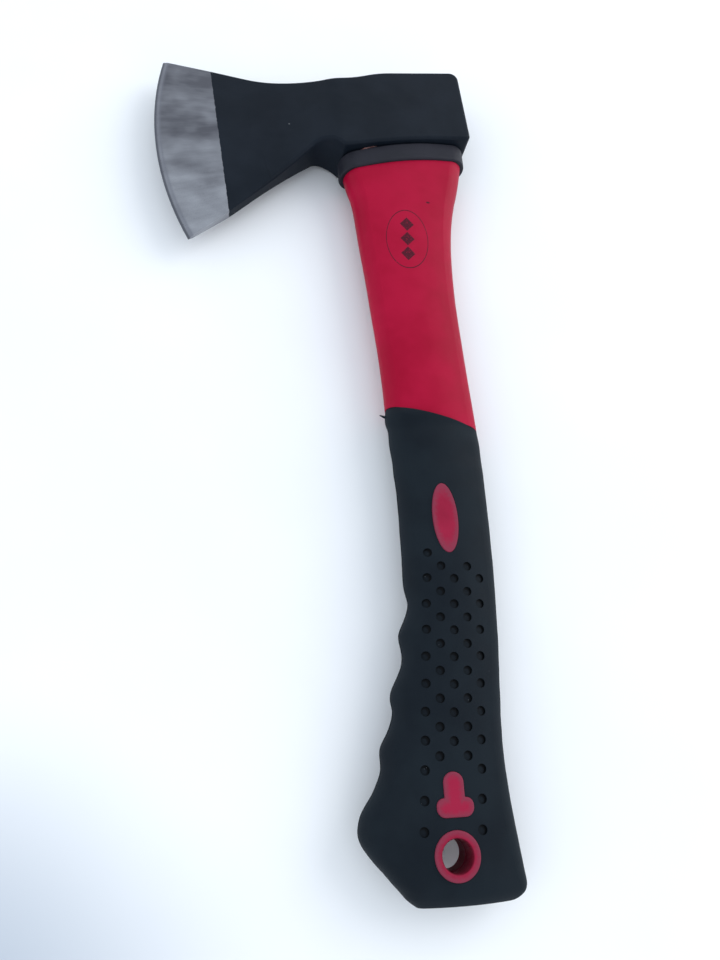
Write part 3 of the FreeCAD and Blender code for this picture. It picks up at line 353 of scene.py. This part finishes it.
def make_neck_material():
    """Satin red plastic with a small printed mark on the front of the neck."""
    specks = {"dust_colour": INK, "spacing": 13.0, "share": 0.10, "dot": 0.020, "strength": 0.9}
    parts = moulded("red_plastic_neck", RED_DARK, RED_LIGHT, rough=0.46, rough_swing=0.10, grain_size=0.5,
                    grain=0.35, swell=4.0, scuffs=0.35, depth=0.05, dust=specks, Specular_IOR_Level=0.08)
    material, tree, shader, place, colour, roughness, height, depth = parts

    # the mark: a thin oval round a stack of three diamonds, in its own turned coordinates
    mark_x, mark_y, mark_tilt = 1.8, 246.0, radians(1.9)
    half_width, half_height, line_width = 9.4, 15.3, 0.42
    diamond_half_width, diamond_half_height, diamond_pitch = 3.2, 3.6, 7.8
    dx = calc(tree, "SUBTRACT", place["X"], mark_x)
    dy = calc(tree, "SUBTRACT", place["Y"], mark_y)
    u, v = turned(tree, dx, dy, mark_tilt)
    reach = plane_length(tree, calc(tree, "DIVIDE", u, half_width), calc(tree, "DIVIDE", v, half_height))
    off_line = calc(tree, "ABSOLUTE", calc(tree, "SUBTRACT", reach, 1.0))
    edge = line_width / (half_width + half_height)
    ring = remap(tree, off_line, edge * 0.6, edge * 1.2, 1.0, 0.0)
    from_middle = calc(tree, "ABSOLUTE", v)
    step = calc(tree, "ABSOLUTE", calc(tree, "SUBTRACT", from_middle, diamond_pitch))
    nearest = calc(tree, "MINIMUM", from_middle, step)
    diamond = calc(tree, "ADD", calc(tree, "DIVIDE", calc(tree, "ABSOLUTE", u), diamond_half_width),
                   calc(tree, "DIVIDE", nearest, diamond_half_height))
    stack = remap(tree, diamond, 0.96, 1.04, 1.0, 0.0)
    ink = calc(tree, "MAXIMUM", ring, stack)
    worn = remap(tree, noise(tree, place["Place"], 0.5, detail=3.0), 0.30, 0.42)
    on_front = calc(tree, "GREATER_THAN", place["Z"], 0.0)
    ink = calc(tree, "MULTIPLY", calc(tree, "MULTIPLY", ink, worn), on_front)
    ink_cover, ink_height = 0.88, 0.5
    colour = blend(tree, calc(tree, "MULTIPLY", ink, ink_cover), colour, INK)

    # one dark speck above the mark
    speck_x, speck_y, speck_half_width, speck_half_height = 13.0, 267.0, 1.0, 0.55
    speck = plane_length(
        tree, calc(tree, "DIVIDE", calc(tree, "SUBTRACT", place["X"], speck_x), speck_half_width),
        calc(tree, "DIVIDE", calc(tree, "SUBTRACT", place["Y"], speck_y), speck_half_height))
    speck = calc(tree, "MULTIPLY", remap(tree, speck, 0.7, 1.1, 0.85, 0.0), on_front)
    colour = blend(tree, speck, colour, INK)
    height = calc(tree, "ADD", height, calc(tree, "MULTIPLY", ink, ink_height))
    finish_surface(tree, shader, colour, roughness, height, depth)
    return material


def pit_distance(tree, place, shift_x=0.0, shift_y=0.0):
    """Millimetres from the nearest of the grip's round pits, whose columns lean a little.

    The place measured from is the pit's middle, or a point shifted from it.
    """
    x, y = calc(tree, "SUBTRACT", place["X"], shift_x), calc(tree, "SUBTRACT", place["Y"], shift_y)
    axis_x, lean, pitch = -1.3, radians(5.7), 9.6
    columns = ((-10.2, 103.4, 11), (-5.1, 98.1, 8), (0.0, 93.2, 7), (5.1, 97.8, 8), (10.2, 93.3, 10))
    across, along = turned(tree, x, y, lean)
    nearest = None
    for offset, first_y, count in columns:
        first_x = axis_x + offset + first_y * tan(lean)
        first_across = first_x * cos(lean) - first_y * sin(lean)
        first_along = first_x * sin(lean) + first_y * cos(lean)
        steps = calc(tree, "DIVIDE", calc(tree, "SUBTRACT", first_along, along), pitch)
        steps = calc(tree, "MINIMUM", calc(tree, "MAXIMUM", calc(tree, "ROUND", steps), 0.0), count - 1.0)
        off_along = calc(tree, "SUBTRACT", calc(tree, "ADD", along, calc(tree, "MULTIPLY", steps, pitch)),
                         first_along)
        distance = plane_length(tree, calc(tree, "SUBTRACT", across, first_across), off_along)
        nearest = distance if nearest is None else calc(tree, "MINIMUM", nearest, distance)
    return nearest


def make_grip_material():
    """Matt black rubber with painted shade and a few grains of dust in its pits."""
    specks = {"dust_colour": DUST_GREY, "spacing": 6.0, "share": 0.25, "dot": 0.032, "strength": 0.8}
    parts = moulded("black_grip_rubber", RUBBER_DARK, RUBBER_LIGHT, rough=0.62, rough_swing=0.10,
                    grain_size=0.28, grain=1.0, swell=3.0, scuffs=0.25, depth=0.06, dust=specks,
                    Specular_IOR_Level=0.12)
    material, tree, shader, place, colour, roughness, height, depth = parts
    distance = pit_distance(tree, place)
    mouth_radius, clean_radius, floor_radius, floor_middle = 1.75, 1.55, 1.5, 1.4
    inside = remap(tree, distance, mouth_radius, clean_radius, 0.0, 1.0)

    # painted shade: the pits are darkened, most against the wall on the side towards the head and the back
    off_side = pit_distance(tree, place, shift_x=-0.55, shift_y=-0.5)
    thin_reach, thick_reach, thin_cover, thick_cover = 0.9, 1.7, 0.22, 0.97
    shade_share = remap(tree, off_side, thin_reach, thick_reach, thin_cover, thick_cover)
    pit_shade = calc(tree, "MULTIPLY", inside, shade_share)
    colour = blend(tree, pit_shade, colour, PIT_SHADE)
    grains = with_dust(tree, place, colour, DUST_GREY, spacing=0.9, share=0.16, dot=0.12, strength=0.8)
    colour = blend(tree, remap(tree, distance, floor_radius, floor_middle, 0.0, 1.0), colour, grains)
    finish_surface(tree, shader, colour, roughness, height, depth)
    return material


def beyond(tree, value, limit):
    """How far value is past limit on either side of nought, and nought inside it."""
    return calc(tree, "MAXIMUM", calc(tree, "SUBTRACT", calc(tree, "ABSOLUTE", value), limit), 0.0)


def oval_depth(tree, place):
    """Millimetres from the oval inlay's outline, inwards."""
    x, y, half_width, half_length, tilt = 6.8, 117.1, 5.0, 13.9, radians(1.4)
    dx, dy = calc(tree, "SUBTRACT", place["X"], x), calc(tree, "SUBTRACT", place["Y"], y)
    across = calc(tree, "ADD", dx, calc(tree, "MULTIPLY", dy, sin(tilt)))
    reach = plane_length(tree, calc(tree, "DIVIDE", across, half_width),
                                   calc(tree, "DIVIDE", dy, half_length))
    return calc(tree, "MULTIPLY", calc(tree, "SUBTRACT", 1.0, reach), half_width)


def tee_depth(tree, place):
    """Millimetres from the tee inlay's outline, inwards: the deeper of its stem and its foot bar."""
    x, foot_y, head_y, bar_half, arm_radius, stem_radius = 0.6, 14.75, 22.5, 3.45, 3.05, 3.6
    dx = calc(tree, "SUBTRACT", place["X"], x)
    bar_y = calc(tree, "SUBTRACT", place["Y"], foot_y)
    bar = calc(tree, "SUBTRACT", arm_radius, plane_length(tree, beyond(tree, dx, bar_half), bar_y))
    middle_y = (foot_y + head_y) / 2
    stem_y = beyond(tree, calc(tree, "SUBTRACT", place["Y"], middle_y), head_y - middle_y)
    stem = calc(tree, "SUBTRACT", stem_radius, plane_length(tree, dx, stem_y))
    return calc(tree, "MAXIMUM", bar, stem)


def ring_depth(tree, place):
    """Millimetres from the eyelet's outer rim, inwards."""
    outer_radius = 7.9
    return calc(tree, "SUBTRACT", outer_radius, plane_length(tree, place["X"], place["Y"]))


def make_inlay_material(name, depth_in, rim_width):
    """Matt red plastic, with a painted sheen towards its rim and painted shade in the hang hole."""
    specks = {"dust_colour": DUST_PINK, "spacing": 5.0, "share": 0.3, "dot": 0.03, "strength": 0.5}
    parts = moulded(name, INLAY_DARK, INLAY_LIGHT, rough=0.58, rough_swing=0.12, grain_size=0.3, grain=1.0,
                    swell=2.0, scuffs=0.5, depth=0.05, dust=specks, Specular_IOR_Level=0.10)
    material, tree, shader, place, colour, roughness, height, depth = parts
    # painted sheen: the rim is paler and greyer towards the outline
    stray, rim_start, sheen_cover = 0.35, 0.2, 0.85
    wander = remap(tree, noise(tree, place["Place"], 1.1, detail=3.0), 0.3, 0.7, -stray, stray)
    inward = calc(tree, "ADD", depth_in(tree, place), wander)
    painted_sheen = remap(tree, inward, rim_start, rim_width, sheen_cover, 0.0)
    colour = blend(tree, painted_sheen, colour, INLAY_SHEEN)

    # painted shade in the hang hole: its wall, which only the eyelet reaches, is darkened
    wall_start, wall_full, wall_cover = 5.8, 5.4, 0.7
    from_hole = plane_length(tree, place["X"], place["Y"])
    hole_shade = remap(tree, from_hole, wall_start, wall_full, 0.0, wall_cover)
    colour = blend(tree, hole_shade, colour, INLAY_HOLE_SHADE)
    finish_surface(tree, shader, colour, roughness, height, depth)
    return material


COLLAR_DUST = {"dust_colour": DUST_GREY, "spacing": 4.0, "share": 0.2, "dot": 0.04, "strength": 0.6}
MATERIALS = {
    "axe_head": make_head_material(),
    "handle_jacket": make_neck_material(),
    "grip_sleeve": make_grip_material(),
    "neck_collar": finished(moulded(
        "dark_collar_rubber", COLLAR_DARK, COLLAR_LIGHT, rough=0.55, rough_swing=0.10, grain_size=0.3,
        grain=1.0, swell=3.0, scuffs=0.4, depth=0.05, dust=COLLAR_DUST, Specular_IOR_Level=0.15)),
    "eye_resin": finished(moulded(
        "cast_resin", RESIN_DARK, RESIN_LIGHT, rough=0.35, rough_swing=0.15, grain_size=1.2, grain=2.5,
        swell=5.0, scuffs=0.0, depth=0.3, Coat_Weight=0.3)),
    "fibreglass_core": finished(moulded(
        "glass_fibre_bar", GLASS_DARK, GLASS_LIGHT, rough=0.6, rough_swing=0.10, grain_size=0.15, grain=2.0,
        swell=1.0, scuffs=1.0, depth=0.08)),
}
for piece, depth_in, rim_width in (("oval_inlay", oval_depth, 2.4), ("tee_inlay", tee_depth, 2.6),
                                   ("eyelet", ring_depth, 2.6)):
    inlay = make_inlay_material(f"matt_red_{piece}", depth_in, rim_width)
    for face in ("front", "rear"):
        MATERIALS[f"{piece}_{face}"] = inlay

for node_name, material in MATERIALS.items():
    slots = NODES[node_name].data.materials
    for index in range(len(slots)):
        slots[index] = material


# ---------------------------------------------------------------- moulding marks and squeezed-out resin

def swept(name, spine, across, up, half_width, half_height, sides=10):
    """A closed bead along a spine.

    At step i and angle t, point = spine[i] + cos(t) * half_width[i] * across[i]
    + sin(t) * half_height[i] * up[i]. The spine's own point at each end closes it.
    """
    spine, across, up = np.asarray(spine), np.asarray(across), np.asarray(up)
    count = len(spine)
    turn = np.linspace(0, 2 * pi, sides, endpoint=False)
    wide = (np.broadcast_to(half_width, count)[:, None] * np.cos(turn))[:, :, None] * across[:, None, :]
    high = (np.broadcast_to(half_height, count)[:, None] * np.sin(turn))[:, :, None] * up[:, None, :]
    rings = (spine[:, None, :] + wide + high).reshape(-1, 3)
    places = np.vstack([rings, spine[:1], spine[-1:]])
    step, side = np.meshgrid(np.arange(count - 1), np.arange(sides), indexing="ij")
    here, there = step * sides + side, step * sides + (side + 1) % sides
    quads = np.stack([here, there, there + sides, here + sides], axis=-1).reshape(-1, 4)
    around = np.arange(sides)
    after = (around + 1) % sides
    last = (count - 1) * sides
    first_cap = np.stack([np.full(sides, count * sides), after, around], axis=-1)
    last_cap = np.stack([np.full(sides, count * sides + 1), last + around, last + after], axis=-1)
    return closed_piece(name, places, quads.tolist() + first_cap.tolist() + last_cap.tolist())


def looped(name, radius, half_width, half_height, steps=96, sides=10):
    """A closed ring round the hang hole, on the middle plane.

    point(a, t) = (r cos a, r sin a, half_height sin t), with r = radius + half_width cos t.
    """
    a, t = np.meshgrid(np.linspace(0, 2 * pi, steps, endpoint=False),
                       np.linspace(0, 2 * pi, sides, endpoint=False), indexing="ij")
    r = radius + half_width * np.cos(t)
    places = HOLE + np.stack([r * np.cos(a), r * np.sin(a), half_height * np.sin(t)], axis=-1) * MM
    step, side = np.meshgrid(np.arange(steps), np.arange(sides), indexing="ij")
    after_step, after_side = (step + 1) % steps, (side + 1) % sides
    quads = np.stack([step * sides + side, after_step * sides + side, after_step * sides + after_side,
                      step * sides + after_side], axis=-1).reshape(-1, 4)
    return closed_piece(name, places.reshape(-1, 3), quads.tolist())


def closed_piece(name, places, faces):
    """An object at the row's origin from places in metres, smooth, with its normals outwards."""
    mesh = bpy.data.meshes.new(name)
    mesh.from_pydata(places.tolist(), [], faces)
    mesh.validate()
    shape = bmesh.new()
    shape.from_mesh(mesh)
    bmesh.ops.recalc_face_normals(shape, faces=shape.faces)
    shape.to_mesh(mesh)
    shape.free()
    mesh.polygons.foreach_set("use_smooth", np.ones(len(mesh.polygons), dtype=bool))
    piece = bpy.data.objects.new(name, mesh)
    bpy.context.collection.objects.link(piece)
    return piece


def settle(piece, material):
    """Give a piece its material and let it move with the part."""
    piece.data.materials.append(material)
    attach(piece, "root")


def sleeve_edge(low_y, high_y, count, side):
    """Where the sleeve's outline lies on the middle plane, seen along X from the side given."""
    sleeve, clear_x = NODES["grip_sleeve"], 60.0
    levels = np.linspace(low_y, high_y, count)
    hits = [sleeve.ray_cast(Vector(at(side * clear_x, y)), Vector((-side, 0, 0))) for y in levels]
    return np.array([hit[1] for hit in hits if hit[0]])


def make_parting_line(name, low_y, high_y, count, side):
    """The thin ridge the mould's two halves leave along one edge of the sleeve."""
    spine = sleeve_edge(low_y, high_y, count, side)
    along = np.gradient(spine, axis=0)
    along /= np.linalg.norm(along, axis=1)[:, None]
    up = np.tile((0.0, 0.0, 1.0), (len(spine), 1))
    across = np.cross(along, up)
    half_width, half_height, uneven = 0.16 * MM, 0.13 * MM, 0.35
    share = np.linspace(0, 1, len(spine))
    fade = np.sin(pi * share) ** 0.25
    wander = 1 + uneven * np.sin(40 * share) * np.sin(17 * share)
    return swept(name, spine, across, up, half_width * fade * wander, half_height * fade)


def make_seam_nib():
    """The stub left where the rubber was let into the mould, at the seam on the belly."""
    foot, tip = np.array((-10.5, 161.8, 0.0)), np.array((-14.4, 163.3, 0.0))
    foot_half, taper, flatness = 0.9 * MM, 0.6 * MM, 0.6
    share = np.linspace(0, 1, 12)
    spine = HOLE + (foot + np.outer(share, tip - foot)) * MM
    along = (tip - foot) / np.linalg.norm(tip - foot)
    up = np.tile((0.0, 0.0, 1.0), (len(share), 1))
    across = np.cross(np.tile(along, (len(share), 1)), up)
    thick = foot_half - taper * share ** 2
    return swept("seam_nib", spine, across, up, thick * flatness, thick)


def make_resin_bead():
    """Resin squeezed out of the eye, lying on the collar's shoulder and thicker in places."""
    foot, head = np.array((-20.6, 291.3, 7.3)), np.array((-8.2, 297.2, 8.0))
    outwards, bow_height, half_thickness = np.array((-0.4, 0.9, 0.0)), 0.5, 0.6 * MM
    share = np.linspace(0, 1, 60)
    lumps = 0.75 + 0.25 * np.sin(9 * share * pi) * np.cos(4 * share * pi)
    bow = bow_height * np.sin(share * pi)
    spine = HOLE + (foot + np.outer(share, head - foot) + np.outer(bow, outwards)) * MM
    across = np.tile(outwards, (len(share), 1))
    up = np.tile((0.0, 0.0, 1.0), (len(share), 1))
    half = half_thickness * np.sin(share * pi) ** 0.4 * lumps
    return swept("resin_bead", spine, across, up, half, half)


RUBBER, RESIN, RING = MATERIALS["grip_sleeve"], MATERIALS["eye_resin"], MATERIALS["eyelet_front"]
for piece in (make_parting_line("grip_flash_belly", low_y=-4.0, high_y=160.0, count=320, side=-1),
              make_parting_line("grip_flash_back", low_y=-8.0, high_y=150.0, count=240, side=1)):
    settle(piece, RUBBER)
settle(looped("bore_flash", radius=5.3, half_width=0.22, half_height=0.18), RING)
settle(make_seam_nib(), RUBBER)
settle(make_resin_bead(), RESIN)


# ---------------------------------------------------------------- floor, light and camera

FLOOR_DULL = (0.87, 0.88, 0.90)
FLOOR_PALE = (0.90, 0.91, 0.92)
FLOOR_SHADE = (0.46, 0.51, 0.58)
ROOM_SIDES = (0.88, 0.94, 1.0)
ROOM_OVERHEAD = (0.50, 0.55, 0.61)


def make_floor():
    """A plain pale floor just under the hatchet, faintly mottled."""
    half, level = 4.0, -0.0003
    mesh = bpy.data.meshes.new("floor")
    corners = [(-half, -half, level), (half, -half, level), (half, half, level), (-half, half, level)]
    mesh.from_pydata(corners, [], [(0, 1, 2, 3)])
    floor = bpy.data.objects.new("floor", mesh)
    bpy.context.collection.objects.link(floor)
    material, tree, shader, place = new_material("pale_floor", 0.85)
    mottle = noise(tree, place["Place"], 90.0, detail=3.0)
    colour = blend(tree, remap(tree, mottle, 0.3, 0.7), FLOOR_DULL, FLOOR_PALE)

    # the floor falls away into shade beyond the butt, on the cutting edge's side
    shade_x, shade_y, bright_reach, dark_reach = -190.0, -75.0, 150.0, 50.0
    reach = plane_length(tree, calc(tree, "SUBTRACT", place["X"], shade_x),
                                   calc(tree, "SUBTRACT", place["Y"], shade_y))
    shade = remap(tree, reach, bright_reach, dark_reach, 0.0, 1.0)
    colour = blend(tree, shade, colour, FLOOR_SHADE)
    tree.links.new(colour, shader.inputs["Base Color"])
    mesh.materials.append(material)


def make_light(name, place, size, power, colour):
    """A round soft lamp aimed at the row's origin. place and size are in metres, power in watts."""
    lamp = bpy.data.lights.new(name, "AREA")
    lamp.shape = "DISK"
    lamp.size = size
    lamp.energy = power
    lamp.color = colour
    light = bpy.data.objects.new(name, lamp)
    light.location = place
    light.rotation_euler = (-Vector(place)).to_track_quat("-Z", "Y").to_euler()
    bpy.context.collection.objects.link(light)


def make_world():
    """A room that is pale round the sides and dimmer overhead."""
    world = bpy.data.worlds.new("soft_room")
    bpy.context.scene.world = world
    world.use_nodes = True
    tree = world.node_tree
    direction = add(tree, "ShaderNodeTexCoord").outputs["Generated"]
    upward = add(tree, "ShaderNodeSeparateXYZ", {0: direction}).outputs["Z"]
    colour = blend(tree, remap(tree, upward, 0.15, 0.85), ROOM_SIDES, ROOM_OVERHEAD)
    tree.links.new(colour, tree.nodes["Background"].inputs["Color"])
    tree.nodes["Background"].inputs["Strength"].default_value = 1.42


def make_camera():
    """A wide lens held close over the butt of the handle, tipped towards the head."""
    data = bpy.data.cameras.new("camera")
    data.sensor_fit = "AUTO"
    data.sensor_width = 36.0
    data.lens = 28.5
    data.clip_start = 0.01
    camera = bpy.data.objects.new("camera", data)
    camera.location = at(-79.0, 31.53, 276.0)
    camera.rotation_euler = Euler((radians(20.754), radians(-10.116), radians(-3.087)), "XYZ")
    bpy.context.collection.objects.link(camera)
    bpy.context.scene.camera = camera


make_floor()
make_world()
make_light("window", place=(1.5, 0.7, 1.0), size=1.7, power=17.0, colour=(1.0, 0.985, 0.96))
make_light("room_fill", place=(-1.3, -0.4, 1.2), size=1.8, power=5.0, colour=(0.90, 0.95, 1.0))
make_camera()
bpy.context.scene.view_settings.view_transform = "Standard"
